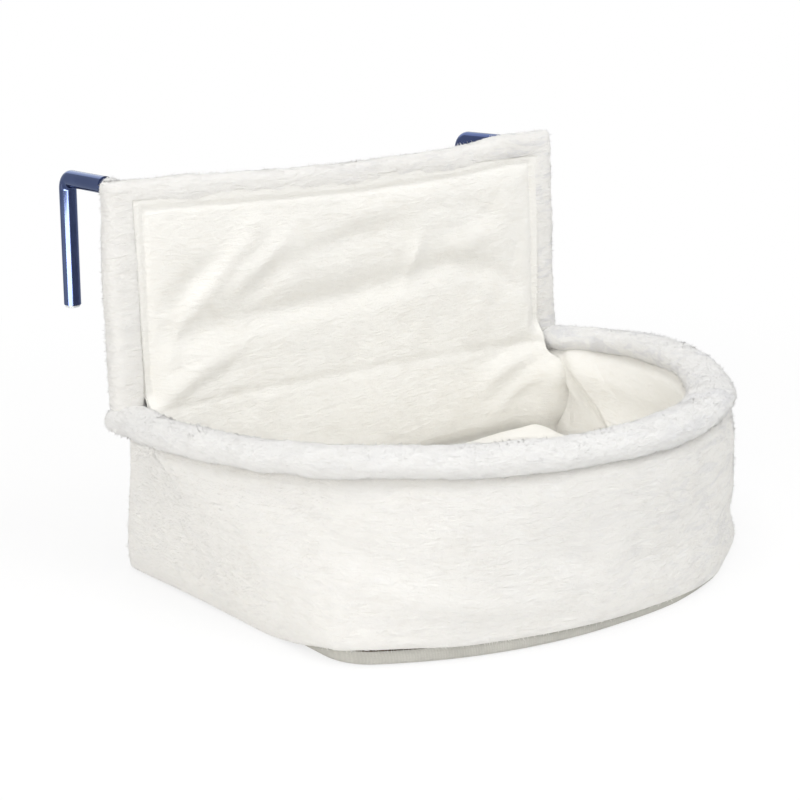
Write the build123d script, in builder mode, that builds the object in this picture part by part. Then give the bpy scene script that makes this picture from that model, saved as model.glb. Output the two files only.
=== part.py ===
from build123d import *
import os
from math import atan2, cos, degrees, radians, sin, sqrt, tan

# Radiator cat bed, millimetres. +X is the bed's right, +Y points to the radiator, +Z is up.
# The origin lies on the flat underside, midway between the uprights' axes.

# Overall sizes
hook_height = 273.0  # underside to the axes of the hooks' level legs
hook_reach = 92.5  # uprights' axes back to the corners of the hooks' axes
hook_splay = 5.0  # degrees that a down leg leans back from upright
hook_drop = 95.0  # level leg's axis down to the hook tube's lower end
hook_mouth = 31.0  # uprights' axes back to the hook tubes' open front ends
hook_travel = 40.0  # how far a hook pulls out to the back
hook_hold = 12.0  # length of stub that is still in the hook when it is pulled out
rim_height = 112.0  # underside to the hoop's axis at the uprights
rim_tilt = 2.0  # degrees, the hoop rises towards the front
rim_width = 414.0  # hoop axis to hoop axis, at its widest
rim_depth = 297.0  # uprights' axes to the hoop's axis at the front

# Tubes
hook_diameter = 12.7
hook_wall = 1.25
hook_bend = 9.0
slide_clearance = 0.1  # between the stub and the hook's bore, all round
frame_wall = 1.0
upright_bend = 25.0
hook_radius = hook_diameter / 2
hook_bore = hook_radius - hook_wall
frame_radius = hook_bore - slide_clearance
frame_bore = frame_radius - frame_wall
fit_gap = 0.05  # between a plug and the bore that holds it, all round
layer_gap = 0.3  # between soft pieces, and between them and the frame

# The hoop's plan: a step out from the uprights, an easy curve at each side, a tighter one in front
hoop_step = 7.0  # the hoop's sides stand out past its ends by this
hoop_saddle = 3.0  # saddle between an upright and the hoop's end, at its thinnest
hoop_straight = 57.0  # uprights' axes to the start of the side curve
hoop_side_turn = 52.4  # degrees that each side curve turns
joggle_start = 8.0
joggle_end = 52.0
hoop_overrun = 8.0  # the hoop's end past the upright's axis
hoop_half = rim_width / 2
hoop_end_x = hoop_half - hoop_step
upright_spacing = 2 * (hoop_end_x - 2 * frame_radius - hoop_saddle)  # between their axes

# Frame fasteners
screw_radius = 2.5
screw_clearance = 0.2
screw_head_radius = 4.5
screw_head_height = 3.0
screw_socket = 3.0  # across the flats
socket_depth = 2.0
insert_length = 14.0
screw_reach = 12.0  # screw in the crossbar's insert
saddle_size = 10.0
saddle_lip = 2.5
cap_thickness = 1.5
cap_spigot = 5.0
ferrule_angle = 7.0  # degrees of the front curve, each side of the joint

# Hook plugs
plug_spigot = 12.0
plug_flange_radius = 5.5
plug_flange = 2.0

# Fabric
sleeve_radius = 11.0  # rim, side and crossbar sleeves, with their padding
rim_roll = 4.5  # the rim's padding stands out by this more on its inner and outer side
sleeve_turn = 70.0  # degrees that a side sleeve follows the upright's bend
side_roll = 8.0  # a side sleeve's padding stands out by this more on its outer side
wall_skin = 2.5
wall_wadding = 4.4
wall_rear = 8.0  # uprights' axes back to the tub's rear face
wall_draw_in = 13.0  # the wall's top corners at the back, in from the hoop's widest line
lining_bow = 8.0  # the lining's rear side swells forward by this at its middle, at the top
lining_foot_bow = 3.0  # and at its foot
hem_height = 22.0
hem_depth = 15.0
hem_sag = 4.0
hem_end_gap = 1.0  # hem's ends to the side sleeves
hem_rise = 8.0  # top of the hem's ends above the hooks' level legs
rear_cloth_front = 4.5  # uprights' axes back to the rear cloth
rear_cloth = 1.5
back_wadding = 6.0
cloth_base = 3.5  # front cloth at its thinnest
swell_depth = 5.0  # the front cloth's swell beyond that
cloth_ease = 1.0  # front cloth below the hem
section_lengths_share = (0.0, 0.1, 0.2, 0.31, 0.4, 0.5, 0.6, 0.68, 0.76, 0.83, 0.91, 1.0)
fold_heights_share = (0.3, 0.33, 0.36, 0.37, 0.37, 0.38, 0.4, 0.43, 0.46, 0.38, 0.29, 0.24)
fold_swells_share = (0.2, 0.55, 0.75, 0.85, 0.9, 0.95, 1.0, 1.0, 1.0, 0.9, 0.6, 0.25)

# The floor
base_draw_in = 5.0  # the wall's foot at the back, in from the hoop's widest line
base_reach = 3.0  # the wall's foot at the front, out past the hoop's axis
base_taper = 4.7  # degrees that each side runs in towards the front
base_corner = 40.0
base_front_radius = 290.0
base_edge = 9.0  # height of the base cover
base_step = 3.0  # base cover in from the wall's foot
base_cloth = 1.5
board_thickness = 4.0
pad_height = 43.0
pad_gap = 3.0  # pad in from the lining's foot
pad_corner = 95.0
pad_levels_share = (0.0, 0.12, 0.3, 0.5, 0.7, 0.84, 0.94, 1.0)
pad_insets_share = (0.035, 0.008, 0.0, 0.008, 0.03, 0.075, 0.15, 0.34)
pad_bow = 5.0  # the pad's rear side pulls in by this at its middle

base_half = hoop_half - base_draw_in
base_depth = rim_depth + base_reach
wall_thickness = 2 * wall_skin + wall_wadding + 2 * layer_gap
stub_end = hook_mouth + hook_travel + hook_hold
rim_plane = Plane(
    origin=(0, 0, rim_height),
    x_dir=(1, 0, 0),
    z_dir=(0, sin(radians(rim_tilt)), cos(radians(rim_tilt))),
)
wall_top = rim_plane.offset(-sleeve_radius - layer_gap)
band_bottom = rim_height + sleeve_radius + layer_gap  # foot of the backrest's cloth
sides = (("left", -1), ("right", 1))

os.makedirs("parts", exist_ok=True)


def save(node, label):
    node.part.label = label
    export_step(node.part, f"parts/{label}.step")


def curve_start(half, rear, taper, corner, front, depth):
    """Length of the straight side before a corner arc that runs on into the front arc."""
    along = Vector(-sin(radians(taper)), -cos(radians(taper)))
    inward = Vector(-cos(radians(taper)), sin(radians(taper)))
    gap = Vector(half, rear) + inward * corner - Vector(0, front - depth)
    half_sum = gap.dot(along)
    root = sqrt(half_sum**2 - gap.dot(gap) + (front - corner) ** 2)
    length = root - half_sum if front > corner else -root - half_sum
    centre = gap + along * length
    if front < corner:
        centre = centre * -1
    turn = 90 - taper - degrees(atan2(centre.X, -centre.Y))
    return length, turn


def outline(plane, half, rear, taper, corner, front, depth, inset=0, bow=0, draw_in=0):
    """A closed D on a plane, taken in by inset all round.

    With a bow its rear side curves in, and draw_in brings its rear corners together.
    """
    length, turn = curve_start(half, rear, taper, corner, front, depth)
    slant = radians(taper)
    rear_share = (1 + sin(slant)) / cos(slant)
    x_rear = half - inset * (cos(slant) + sin(slant) * rear_share)
    y_rear = rear - inset
    straight = length - inset * rear_share
    x_turn = x_rear - straight * sin(slant)
    y_turn = y_rear - straight * cos(slant)
    with BuildSketch(plane) as sketch:
        with BuildLine():
            side = Line((x_rear - draw_in, y_rear), (x_turn, y_turn))
            corner_arc = JernArc(side @ 1, (-sin(slant), -cos(slant)), corner - inset, -turn)
            JernArc(corner_arc @ 1, corner_arc % 1, front - inset, -(90 - taper - turn))
            mirror(about=Plane.YZ)
            if bow:
                ThreePointArc(
                    (draw_in - x_rear, y_rear), (0, y_rear - bow), (x_rear - draw_in, y_rear)
                )
            else:
                Line((draw_in - x_rear, y_rear), (x_rear - draw_in, y_rear))
        make_face()
    return sketch.sketch


# The two radii that carry the hoop from its straight side round to its front
turn_cos = cos(radians(hoop_side_turn))
turn_sin = sin(radians(hoop_side_turn))
front_share = (1 - turn_sin) / turn_cos
hoop_side_radius = (rim_depth - hoop_straight - hoop_half * front_share) / (
    turn_sin - (1 - turn_cos) * front_share
)
hoop_front_radius = (hoop_half - hoop_side_radius * (1 - turn_cos)) / turn_cos


def rim_outline(plane, inset=0, bow=0):
    edge = wall_thickness / 2
    return outline(
        plane,
        hoop_half + edge,
        wall_rear,
        0,
        hoop_side_radius + edge,
        hoop_front_radius + edge,
        rim_depth + edge,
        inset,
        bow,
        wall_draw_in,
    )


def base_outline(plane, inset=0, bow=0):
    return outline(
        plane, base_half, wall_rear, base_taper, base_corner, base_front_radius, base_depth, inset, bow
    )


def ring_at(path, outer, bore):
    """The section of a tube at the start of its path."""
    with BuildSketch(Plane(origin=path @ 0, z_dir=path % 0)) as sketch:
        Circle(outer)
        Circle(bore, mode=Mode.SUBTRACT)
    return sketch.sketch


def upright_plane(side):
    """The plane of one upright and its hook: local X runs back and local Y runs up."""
    return Plane(origin=(side * upright_spacing / 2, 0, 0), x_dir=(0, 1, 0), z_dir=(1, 0, 0))


def across(side, x, z=rim_height):
    """A plane that faces outwards along X at a height on the uprights' plane."""
    return Plane(origin=(side * x, 0, z), x_dir=(0, 1, 0), z_dir=(side, 0, 0))


bend_foot = hook_height - upright_bend
upright_foot = rim_height - sleeve_radius + layer_gap + cap_thickness
upright_outside = upright_spacing / 2 + frame_radius
hoop_outside = hoop_end_x + frame_radius
crossbar_end = upright_spacing / 2 - frame_radius
cloth_half = upright_spacing / 2 - sleeve_radius - layer_gap

# Hooks: each is a larger tube that telescopes over the end of its upright
bend_length = hook_bend * tan(radians(90 - hook_splay) / 2)
for name, side in sides:
    with BuildLine(upright_plane(side)) as hook_line:
        level = Line((hook_mouth, hook_height), (hook_reach - bend_length, hook_height))
        turn = JernArc(level @ 1, level % 1, hook_bend, hook_splay - 90)
        Line(turn @ 1, (hook_reach + hook_drop * tan(radians(hook_splay)), hook_height - hook_drop))
    hook_path = hook_line.wire()
    with BuildPart() as hook_tube:
        sweep(sections=ring_at(hook_path, hook_radius, hook_bore), path=hook_path)
    save(hook_tube, f"{name}_hook_tube")

    hook_end = Plane(origin=hook_path @ 1, x_dir=(1, 0, 0), z_dir=(hook_path % 1) * -1)
    with BuildPart() as hook_plug:
        with BuildSketch(hook_end):
            Circle(plug_flange_radius)
        extrude(amount=-plug_flange)
        with BuildSketch(hook_end):
            Circle(hook_bore - fit_gap)
        extrude(amount=plug_spigot)
        plug_axis = Axis(hook_end.origin, hook_end.z_dir)
        end_edges = hook_plug.edges().filter_by(GeomType.CIRCLE).group_by(plug_axis)
        chamfer(end_edges[0] + end_edges[-1], plug_flange / 4)
    save(hook_plug, f"{name}_hook_plug")

# Uprights: straight tube, bent back at the top into the stub that the hook slides on
for name, side in sides:
    with BuildLine(upright_plane(side)) as upright_line:
        rise = Line((0, upright_foot), (0, bend_foot))
        turn = JernArc(rise @ 1, rise % 1, upright_bend, -90)
        Line(turn @ 1, (stub_end, hook_height))
    upright_path = upright_line.wire()
    with BuildPart() as upright:
        sweep(sections=ring_at(upright_path, frame_radius, frame_bore), path=upright_path)
        with BuildSketch(across(side, hoop_outside)):
            Circle(screw_radius + screw_clearance)
        extrude(amount=-(hoop_outside - crossbar_end), mode=Mode.SUBTRACT)
    save(upright, f"{name}_upright")

    with BuildLine(upright_plane(side)) as sleeve_line:
        rise = Line((0, band_bottom), (0, bend_foot))
        JernArc(rise @ 1, rise % 1, upright_bend, -sleeve_turn)
    sleeve_path = sleeve_line.wire()
    with BuildSketch(Plane(origin=sleeve_path @ 0, z_dir=sleeve_path % 0)) as roll:
        with Locations((side * side_roll / 2, 0)):
            Ellipse(sleeve_radius + side_roll / 2, sleeve_radius)
        Circle(frame_radius + layer_gap, mode=Mode.SUBTRACT)
    with BuildPart() as side_sleeve:
        sweep(sections=roll.sketch, path=sleeve_path)
    save(side_sleeve, f"{name}_side_sleeve")

# Hoop: two bent halves that meet at the front, screwed to the outsides of the uprights
joggle_angle = 2 * degrees(atan2(hoop_half - hoop_end_x, joggle_end - joggle_start))
joggle_radius = abs((joggle_end - joggle_start) / (2 * sin(radians(joggle_angle))))


def draw_hoop_half(side, rear):
    """The hoop's axis on the current line plane, from its rear end to the front joint."""
    end = Line((side * hoop_end_x, rear), (side * hoop_end_x, -joggle_start))
    out = JernArc(end @ 1, end % 1, joggle_radius, side * joggle_angle)
    back = JernArc(out @ 1, out % 1, joggle_radius, -side * joggle_angle)
    straight = Line(back @ 1, rim_plane.from_local_coords(Vector(side * hoop_half, -hoop_straight)))
    side_arc = JernArc(straight @ 1, straight % 1, hoop_side_radius, -side * hoop_side_turn)
    JernArc(side_arc @ 1, side_arc % 1, hoop_front_radius, -side * (90 - hoop_side_turn))


for name, side in sides:
    with BuildLine(rim_plane) as hoop_line:
        draw_hoop_half(side, hoop_overrun)
    hoop_path = hoop_line.wire()
    with BuildPart() as hoop:
        sweep(sections=ring_at(hoop_path, frame_radius, frame_bore), path=hoop_path)
        with BuildSketch(across(side, hoop_outside)):
            Circle(screw_radius + screw_clearance)
        extrude(amount=-2 * frame_radius, mode=Mode.SUBTRACT)
    save(hoop, f"{name}_hoop")

with BuildLine(rim_plane) as joint_line:
    JernArc(
        rim_plane.from_local_coords(Vector(0, -rim_depth)),
        rim_plane.x_dir,
        hoop_front_radius,
        ferrule_angle,
    )
    mirror(about=Plane.YZ)
joint_path = joint_line.wire()
with BuildPart() as hoop_ferrule:
    sweep(sections=ring_at(joint_path, frame_bore - fit_gap, frame_bore - frame_wall), path=joint_path)
save(hoop_ferrule, "hoop_ferrule")

# Crossbar between the uprights, with a threaded insert in each end for the hoop's screw
with BuildPart() as crossbar:
    with BuildSketch(Plane(origin=(-crossbar_end, 0, rim_height), z_dir=(1, 0, 0))):
        Circle(frame_radius)
        Circle(frame_bore, mode=Mode.SUBTRACT)
    extrude(amount=2 * crossbar_end)
save(crossbar, "crossbar")

with BuildPart() as crossbar_inserts:
    for name, side in sides:
        with BuildSketch(across(side, crossbar_end)):
            Circle(frame_bore - fit_gap)
            Circle(screw_radius + fit_gap, mode=Mode.SUBTRACT)
        extrude(amount=-insert_length)
save(crossbar_inserts, "crossbar_inserts")

with BuildPart() as frame_screws:
    for name, side in sides:
        with BuildSketch(across(side, hoop_outside)):
            Circle(screw_radius)
        extrude(amount=-(hoop_outside - crossbar_end + screw_reach))
        with BuildSketch(across(side, hoop_outside)):
            Circle(screw_head_radius)
        extrude(amount=screw_head_height)
        with BuildSketch(across(side, hoop_outside + screw_head_height)):
            RegularPolygon(screw_socket / 2, 6, major_radius=False)
        extrude(amount=-socket_depth, mode=Mode.SUBTRACT)
    head_edges = frame_screws.edges().filter_by(GeomType.CIRCLE).group_by(Axis.X)
    fillet(head_edges[0] + head_edges[-1], screw_head_height / 3)
save(frame_screws, "frame_screws")

# A saddle sits between each upright and the hoop's end, hollowed to both tubes
with BuildPart() as hoop_saddles:
    for name, side in sides:
        with BuildSketch(across(side, upright_outside - saddle_lip)):
            Rectangle(saddle_size, saddle_size)
        extrude(amount=hoop_saddle + 2 * saddle_lip)
        with BuildSketch(Plane.XY.offset(rim_height - saddle_size)):
            with Locations((side * upright_spacing / 2, 0)):
                Circle(frame_radius + fit_gap)
        extrude(amount=2 * saddle_size, mode=Mode.SUBTRACT)
        with BuildSketch(Plane(rim_plane.origin, x_dir=(1, 0, 0), z_dir=-rim_plane.y_dir)):
            with Locations((side * hoop_end_x, 0)):
                Circle(frame_radius + fit_gap)
        extrude(amount=saddle_size, both=True, mode=Mode.SUBTRACT)
        with BuildSketch(across(side, hoop_end_x)):
            Circle(screw_radius + screw_clearance)
        extrude(amount=-(hoop_end_x - upright_spacing / 2), mode=Mode.SUBTRACT)
save(hoop_saddles, "hoop_saddles")

# Caps close the uprights' feet and the hoop's rear ends
cap_planes = [Plane(origin=(side * upright_spacing / 2, 0, upright_foot)) for name, side in sides]
cap_planes += [
    Plane(
        origin=rim_plane.from_local_coords(Vector(side * hoop_end_x, hoop_overrun)),
        z_dir=-rim_plane.y_dir,
    )
    for name, side in sides
]
with BuildPart() as frame_caps:
    for plane in cap_planes:
        with BuildSketch(plane):
            Circle(frame_radius)
        extrude(amount=-cap_thickness)
        with BuildSketch(plane):
            Circle(frame_bore - fit_gap)
        extrude(amount=cap_spigot)
save(frame_caps, "frame_caps")

# Fabric sleeves round the hoop and the crossbar
with BuildLine(rim_plane) as rim_line:
    draw_hoop_half(1, hoop_overrun + cap_thickness)
    mirror(about=Plane.YZ)
rim_path = rim_line.wire()
with BuildSketch(Plane(rim_path @ 0, x_dir=rim_plane.x_dir, z_dir=rim_path % 0)) as rim_section:
    Ellipse(sleeve_radius + rim_roll, sleeve_radius)
    Circle(frame_radius + layer_gap, mode=Mode.SUBTRACT)
with BuildPart() as rim_sleeve:
    sweep(sections=rim_section.sketch, path=rim_path)
    for name, side in sides:
        with BuildSketch(Plane.XY.offset(rim_height)):
            with Locations((side * upright_spacing / 2, 0)):
                Circle(frame_radius + layer_gap)
        extrude(amount=hook_height, both=True, mode=Mode.SUBTRACT)
        with BuildSketch(across(side, hoop_outside + screw_head_height + layer_gap)):
            Circle(saddle_size / sqrt(2) + layer_gap)
        extrude(amount=-(hoop_outside - cloth_half), mode=Mode.SUBTRACT)
save(rim_sleeve, "rim_sleeve")

with BuildPart() as crossbar_sleeve:
    with BuildSketch(Plane(origin=(-cloth_half, 0, rim_height), z_dir=(1, 0, 0))):
        Circle(sleeve_radius)
        Circle(frame_radius + layer_gap, mode=Mode.SUBTRACT)
    extrude(amount=2 * cloth_half)
save(crossbar_sleeve, "crossbar_sleeve")

# Backrest: a hem at the top, then rear cloth, wadding and the front cloth with its folds
hem_axis = hook_height + hem_rise - hem_height / 2
hem_half = upright_spacing / 2 - sleeve_radius - hem_end_gap
with BuildLine(Plane.XZ) as hem_line:
    ThreePointArc((-hem_half, hem_axis), (0, hem_axis - hem_sag), (hem_half, hem_axis))
hem_path = hem_line.wire()
with BuildPart() as top_hem:
    with BuildSketch(Plane(origin=hem_path @ 0, x_dir=(0, 1, 0), z_dir=hem_path % 0)):
        RectangleRounded(hem_depth, hem_height, hem_depth / 2 - layer_gap)
    sweep(path=hem_path)
save(top_hem, "top_hem")

band_top = hem_axis - hem_sag - hem_height / 2 - layer_gap
for label, front, rear in (
    ("back_rear_cloth", rear_cloth_front, rear_cloth_front + rear_cloth),
    ("back_wadding", rear_cloth_front - layer_gap - back_wadding, rear_cloth_front - layer_gap),
):
    with BuildPart() as flat_layer:
        with BuildSketch(Plane.XZ.offset(-rear)):
            with Locations((0, (band_bottom + band_top) / 2)):
                Rectangle(2 * cloth_half, band_top - band_bottom)
        extrude(amount=rear - front)
    save(flat_layer, label)

cloth_rear = rear_cloth_front - 2 * layer_gap - back_wadding
cloth_front = cloth_rear - cloth_base
cloth_sections = []
for along, height, swell in zip(section_lengths_share, fold_heights_share, fold_swells_share):
    x = cloth_half * (2 * along - 1)
    top = band_top + hem_sag * (x / cloth_half) ** 2 - cloth_ease
    fold = band_bottom + height * (top - band_bottom)
    with BuildSketch(Plane(origin=(x, 0, 0), x_dir=(0, 1, 0), z_dir=(1, 0, 0))) as section:
        with BuildLine():
            Line((cloth_front, band_bottom), (cloth_rear, band_bottom))
            Line((cloth_rear, band_bottom), (cloth_rear, top))
            Line((cloth_rear, top), (cloth_front, top))
            for low, high in ((band_bottom, fold), (fold, top)):
                middle = (cloth_front - swell * swell_depth, (low + high) / 2)
                ThreePointArc((cloth_front, low), middle, (cloth_front, high))
        make_face()
    cloth_sections.append(section.sketch)
with BuildPart() as back_front_cloth:
    loft(sections=cloth_sections, ruled=True)
save(back_front_cloth, "back_front_cloth")

# Tub wall: outer plush, wadding and lining, hung from the rim down to the base
wall_foot = Plane.XY.offset(base_edge)
flat_rear = (0, 0)
swollen_rear = (lining_bow, lining_foot_bow)
for label, outer, outer_bows, inner, inner_bows in (
    ("tub_outer_wall", 0, flat_rear, wall_skin, flat_rear),
    (
        "tub_wall_wadding",
        wall_skin + layer_gap,
        flat_rear,
        wall_skin + layer_gap + wall_wadding,
        swollen_rear,
    ),
    ("tub_lining", wall_thickness - wall_skin, swollen_rear, wall_thickness, swollen_rear),
):
    with BuildPart() as wall:
        for inset, bows, mode in (
            (outer, outer_bows, Mode.ADD),
            (inner, inner_bows, Mode.SUBTRACT),
        ):
            top = rim_outline(wall_top, inset, bows[0])
            foot = base_outline(wall_foot, inset, bows[1])
            loft(sections=[top, foot], ruled=True, mode=mode)
    save(wall, label)

# The floor: a cloth tray with a stiff board in it, and a crowned pad on the board
with BuildPart() as base_cover:
    extrude(base_outline(Plane.XY, base_step), amount=base_edge - layer_gap)
    extrude(
        base_outline(Plane.XY.offset(base_cloth), base_step + base_cloth),
        amount=base_edge,
        mode=Mode.SUBTRACT,
    )
save(base_cover, "base_cover")

with BuildPart() as base_board:
    extrude(
        base_outline(Plane.XY.offset(base_cloth), base_step + base_cloth + layer_gap),
        amount=board_thickness,
    )
save(base_board, "base_board")

pad_foot = base_cloth + board_thickness
pad_edge = wall_thickness + pad_gap
pad_sections = []
for level, pull in zip(pad_levels_share, pad_insets_share):
    pad_sections.append(
        outline(
            Plane.XY.offset(pad_foot + level * pad_height),
            base_half - pad_edge,
            wall_rear - pad_edge,
            base_taper,
            pad_corner,
            base_front_radius,
            base_depth - pad_edge,
            pull * base_half,
            pad_bow,
        )
    )
with BuildPart() as floor_pad:
    loft(sections=pad_sections, ruled=True)
save(floor_pad, "floor_pad")
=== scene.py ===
import math

import bpy
import numpy as np
from mathutils import Matrix, Vector


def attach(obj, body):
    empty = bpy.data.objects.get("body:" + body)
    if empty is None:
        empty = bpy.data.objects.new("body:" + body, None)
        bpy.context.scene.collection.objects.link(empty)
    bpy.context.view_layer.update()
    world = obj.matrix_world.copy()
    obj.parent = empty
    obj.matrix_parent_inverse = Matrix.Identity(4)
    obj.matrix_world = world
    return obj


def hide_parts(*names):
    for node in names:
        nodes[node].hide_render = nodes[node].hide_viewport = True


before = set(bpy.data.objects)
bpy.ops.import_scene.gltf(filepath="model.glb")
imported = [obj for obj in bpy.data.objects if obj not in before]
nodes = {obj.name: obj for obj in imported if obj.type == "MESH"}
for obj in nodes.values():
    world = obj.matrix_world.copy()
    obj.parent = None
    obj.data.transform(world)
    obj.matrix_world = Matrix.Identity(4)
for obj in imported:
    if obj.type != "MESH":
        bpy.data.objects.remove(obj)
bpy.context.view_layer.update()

mm = 0.001
print("frame loaded")


# camera
cameraValues = {
    "place": (-0.6690, -0.9499, 0.4033),
    "yaw": 36.842,
    "pitch": 15.177,
    "roll": -1.403,
    "lens": 68.786,
}


def addObject(name, data):
    thing = bpy.data.objects.new(name, data)
    bpy.context.collection.objects.link(thing)
    return thing


def makeCamera(values):
    yaw, pitch, roll = (math.radians(values[k]) for k in ("yaw", "pitch", "roll"))
    ahead = np.array([math.sin(yaw), math.cos(yaw), 0.0])
    side = np.array([math.cos(yaw), -math.sin(yaw), 0.0])
    high = np.array([0.0, 0.0, 1.0])
    forward = ahead * math.cos(pitch) - high * math.sin(pitch)
    up = ahead * math.sin(pitch) + high * math.cos(pitch)
    right = side * math.cos(roll) + up * math.sin(roll)
    top = up * math.cos(roll) - side * math.sin(roll)
    rows = np.eye(4)
    rows[:3, 0], rows[:3, 1], rows[:3, 2], rows[:3, 3] = right, top, -forward, values["place"]
    camera = addObject("camera", bpy.data.cameras.new("camera"))
    camera.matrix_world = Matrix(rows.tolist())
    camera.data.lens = values["lens"]
    camera.data.clip_start, camera.data.clip_end = 0.05, 50
    bpy.context.scene.camera = camera


makeCamera(cameraValues)
print("camera made")


# noise and mesh helpers, all in millimetres
def latticeValue(i, j, k, seed):
    h = (i * 374761393 + j * 668265263 + k * 1442695041 + seed * 1274126177) & 0xFFFFFFFF
    h = ((h ^ (h >> 13)) * 1274126177) & 0xFFFFFFFF
    h = ((h ^ (h >> 16)) * 668265263) & 0xFFFFFFFF
    return ((h >> 8) & 0xFFFF) / 32767.5 - 1


def softNoise(points, size, seed):
    q = np.asarray(points) / size
    cell = np.floor(q).astype(np.int64)
    t = q - cell
    t = t * t * t * (t * (6 * t - 15) + 10)
    total = 0
    for a in (0, 1):
        for b in (0, 1):
            for c in (0, 1):
                share = (
                    (t[..., 0] if a else 1 - t[..., 0])
                    * (t[..., 1] if b else 1 - t[..., 1])
                    * (t[..., 2] if c else 1 - t[..., 2])
                )
                corner = latticeValue(cell[..., 0] + a, cell[..., 1] + b, cell[..., 2] + c, seed)
                total = total + share * corner
    return total


# v["lumps"] is a list of (size, height)
def lumps(points, v):
    layers = enumerate(v["lumps"], v["seed"])
    return sum(softNoise(points, size, seed) * height for seed, (size, height) in layers)


def smoothStep(x, low, high):
    t = np.clip((np.asarray(x, float) - low) / (high - low), 0, 1)
    return t * t * (3 - 2 * t)


def unit(vectors):
    return vectors / np.maximum(np.linalg.norm(vectors, axis=-1, keepdims=True), 1e-9)


# share 0 gives the first of a pair of values, and 1 the second
def blend(pair, share):
    return pair[0] + (pair[1] - pair[0]) * share


# how far along its line each point lies
def lengthsAlong(points):
    return np.concatenate([[0], np.cumsum(np.linalg.norm(np.diff(points, axis=0), axis=1))])


def evenly(points, count):
    along = lengthsAlong(points)
    wanted = np.linspace(0, along[-1], count)
    return np.stack([np.interp(wanted, along, column) for column in points.T], 1)


# distance to a polyline, and the share along it
def lineDistance(points, line):
    line = np.asarray(line, float)
    lengths = np.linalg.norm(np.diff(line, axis=0), axis=1)
    before = lengthsAlong(line)
    best = np.full(len(points), 1e9)
    share = np.zeros(len(points))
    for n in range(len(line) - 1):
        d = (line[n + 1] - line[n]) / lengths[n]
        rel = points - line[n]
        t = np.clip(rel @ d, 0, lengths[n])
        dist = np.linalg.norm(rel - t[:, None] * d, axis=1)
        near = dist < best
        best[near] = dist[near]
        share[near] = ((before[n] + t) / before[-1])[near]
    return best, share


# folds is a list of (line, width, height): ridges stand out and valleys, below zero, go in
def addFolds(high, points, folds, margin, power=1.0, weight=1.0):
    for line, width, height in folds:
        distance, share = lineDistance(points, line)
        fade = np.sin(np.pi * np.clip(share, margin, 1 - margin)) ** power
        high = high + weight * height * np.exp(-((distance / width) ** 2)) * fade
    return high


def gridFaces(rows, columns, wrap=False, start=0):
    index = np.arange(rows * columns).reshape(rows, columns) + start
    if wrap:
        index = np.hstack([index, index[:, :1]])
    corners = [index[:-1, :-1], index[:-1, 1:], index[1:, 1:], index[1:, :-1]]
    return np.stack(corners, -1).reshape(-1, 4)


def pointNormals(verts, faces):
    a, b, c, d = (verts[faces[:, n]] for n in range(4))
    normal = np.cross(c - a, d - b)
    out = np.zeros_like(verts)
    for n in range(4):
        np.add.at(out, faces[:, n], normal)
    return unit(out)


# a grid's points in one list, and their normals
def gridNormals(grid, wrap=False):
    flat = grid.reshape(-1, 3)
    return flat, pointNormals(flat, gridFaces(*grid.shape[:2], wrap))


def makePiece(name, verts, faces, finish):
    mesh = bpy.data.meshes.new(name)
    mesh.from_pydata((np.asarray(verts) * mm).tolist(), [], faces)
    mesh.validate()
    mesh.polygons.foreach_set("use_smooth", [True] * len(mesh.polygons))
    piece = addObject(name, mesh)
    mesh.materials.append(finish)
    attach(piece, "frame")
    return piece


# turns the faces round if the closed shape is inside out
def facingOut(verts, faces):
    volume = 0
    for f in (faces[:, [0, 1, 2]], faces[:, [0, 2, 3]]):
        a, b, c = verts[f[:, 0]], verts[f[:, 1]], verts[f[:, 2]]
        volume += np.einsum("ij,ij->i", a, np.cross(b, c)).sum()
    return faces if volume > 0 else faces[:, ::-1]


# a closed roll round its centres, with rounded ends and a lumpy skin
def makeRoll(name, centres, sideways, upwards, halfWidth, halfHeight, v, finish):
    around = v["around"]
    along = lengthsAlong(centres)
    toEnd = np.minimum(along, along[-1] - along)
    pull = np.sqrt(np.clip(1 - (1 - np.clip(toEnd / v["roundEnd"], 0, 1)) ** 2, 0.0004, 1))
    angle = np.linspace(0, 2 * np.pi, around, endpoint=False)
    power = v.get("squareness", 1.0)
    across, up = (np.sign(w) * np.abs(w) ** power for w in (np.cos(angle), np.sin(angle)))
    wide = (halfWidth * pull)[:, None, None] * across[None, :, None]
    high = (halfHeight * pull)[:, None, None] * up[None, :, None]
    verts = (centres[:, None] + sideways[:, None] * wide + upwards[:, None] * high).reshape(-1, 3)
    faces = gridFaces(len(centres), around, wrap=True)
    first, last = len(verts), len(verts) + 1
    verts = np.vstack([verts, centres[:1], centres[-1:]])
    ring = np.arange(around)
    after = np.roll(ring, -1)
    end = (len(centres) - 1) * around
    caps = np.vstack([
        np.stack([after, ring, np.full(around, first)], 1),
        np.stack([end + ring, end + after, np.full(around, last)], 1),
    ])
    outward = facingOut(verts, faces)
    if (outward[0] != faces[0]).any():
        faces, caps = outward, caps[:, [1, 0, 2]]
    verts = verts + pointNormals(verts, faces) * lumps(verts, v)[:, None]
    return makePiece(name, verts, faces.tolist() + caps.tolist(), finish)


# a skin between two grids with the same number of columns, closed at its open edges
def makeSkin(name, outer, inner, columns, wrap, finish):
    count = len(outer)
    rows = count // columns
    verts = np.vstack([outer, inner])
    index = np.arange(count).reshape(rows, columns)
    edges = [(index[0], False), (index[-1], True)]
    if wrap:
        edges = [(np.append(line, line[0]), turned) for line, turned in edges]
    else:
        edges += [(index[:, 0], True), (index[:, -1], False)]
    faces = [gridFaces(rows, columns, wrap), gridFaces(rows, columns, wrap, count)[:, ::-1]]
    for line, turned in edges:
        quads = np.stack([line[:-1], line[1:], line[1:] + count, line[:-1] + count], 1)
        faces.append(quads[:, ::-1] if turned else quads)
    return makePiece(name, verts, facingOut(verts, np.vstack(faces)).tolist(), finish)


print("helpers ready")


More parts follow.
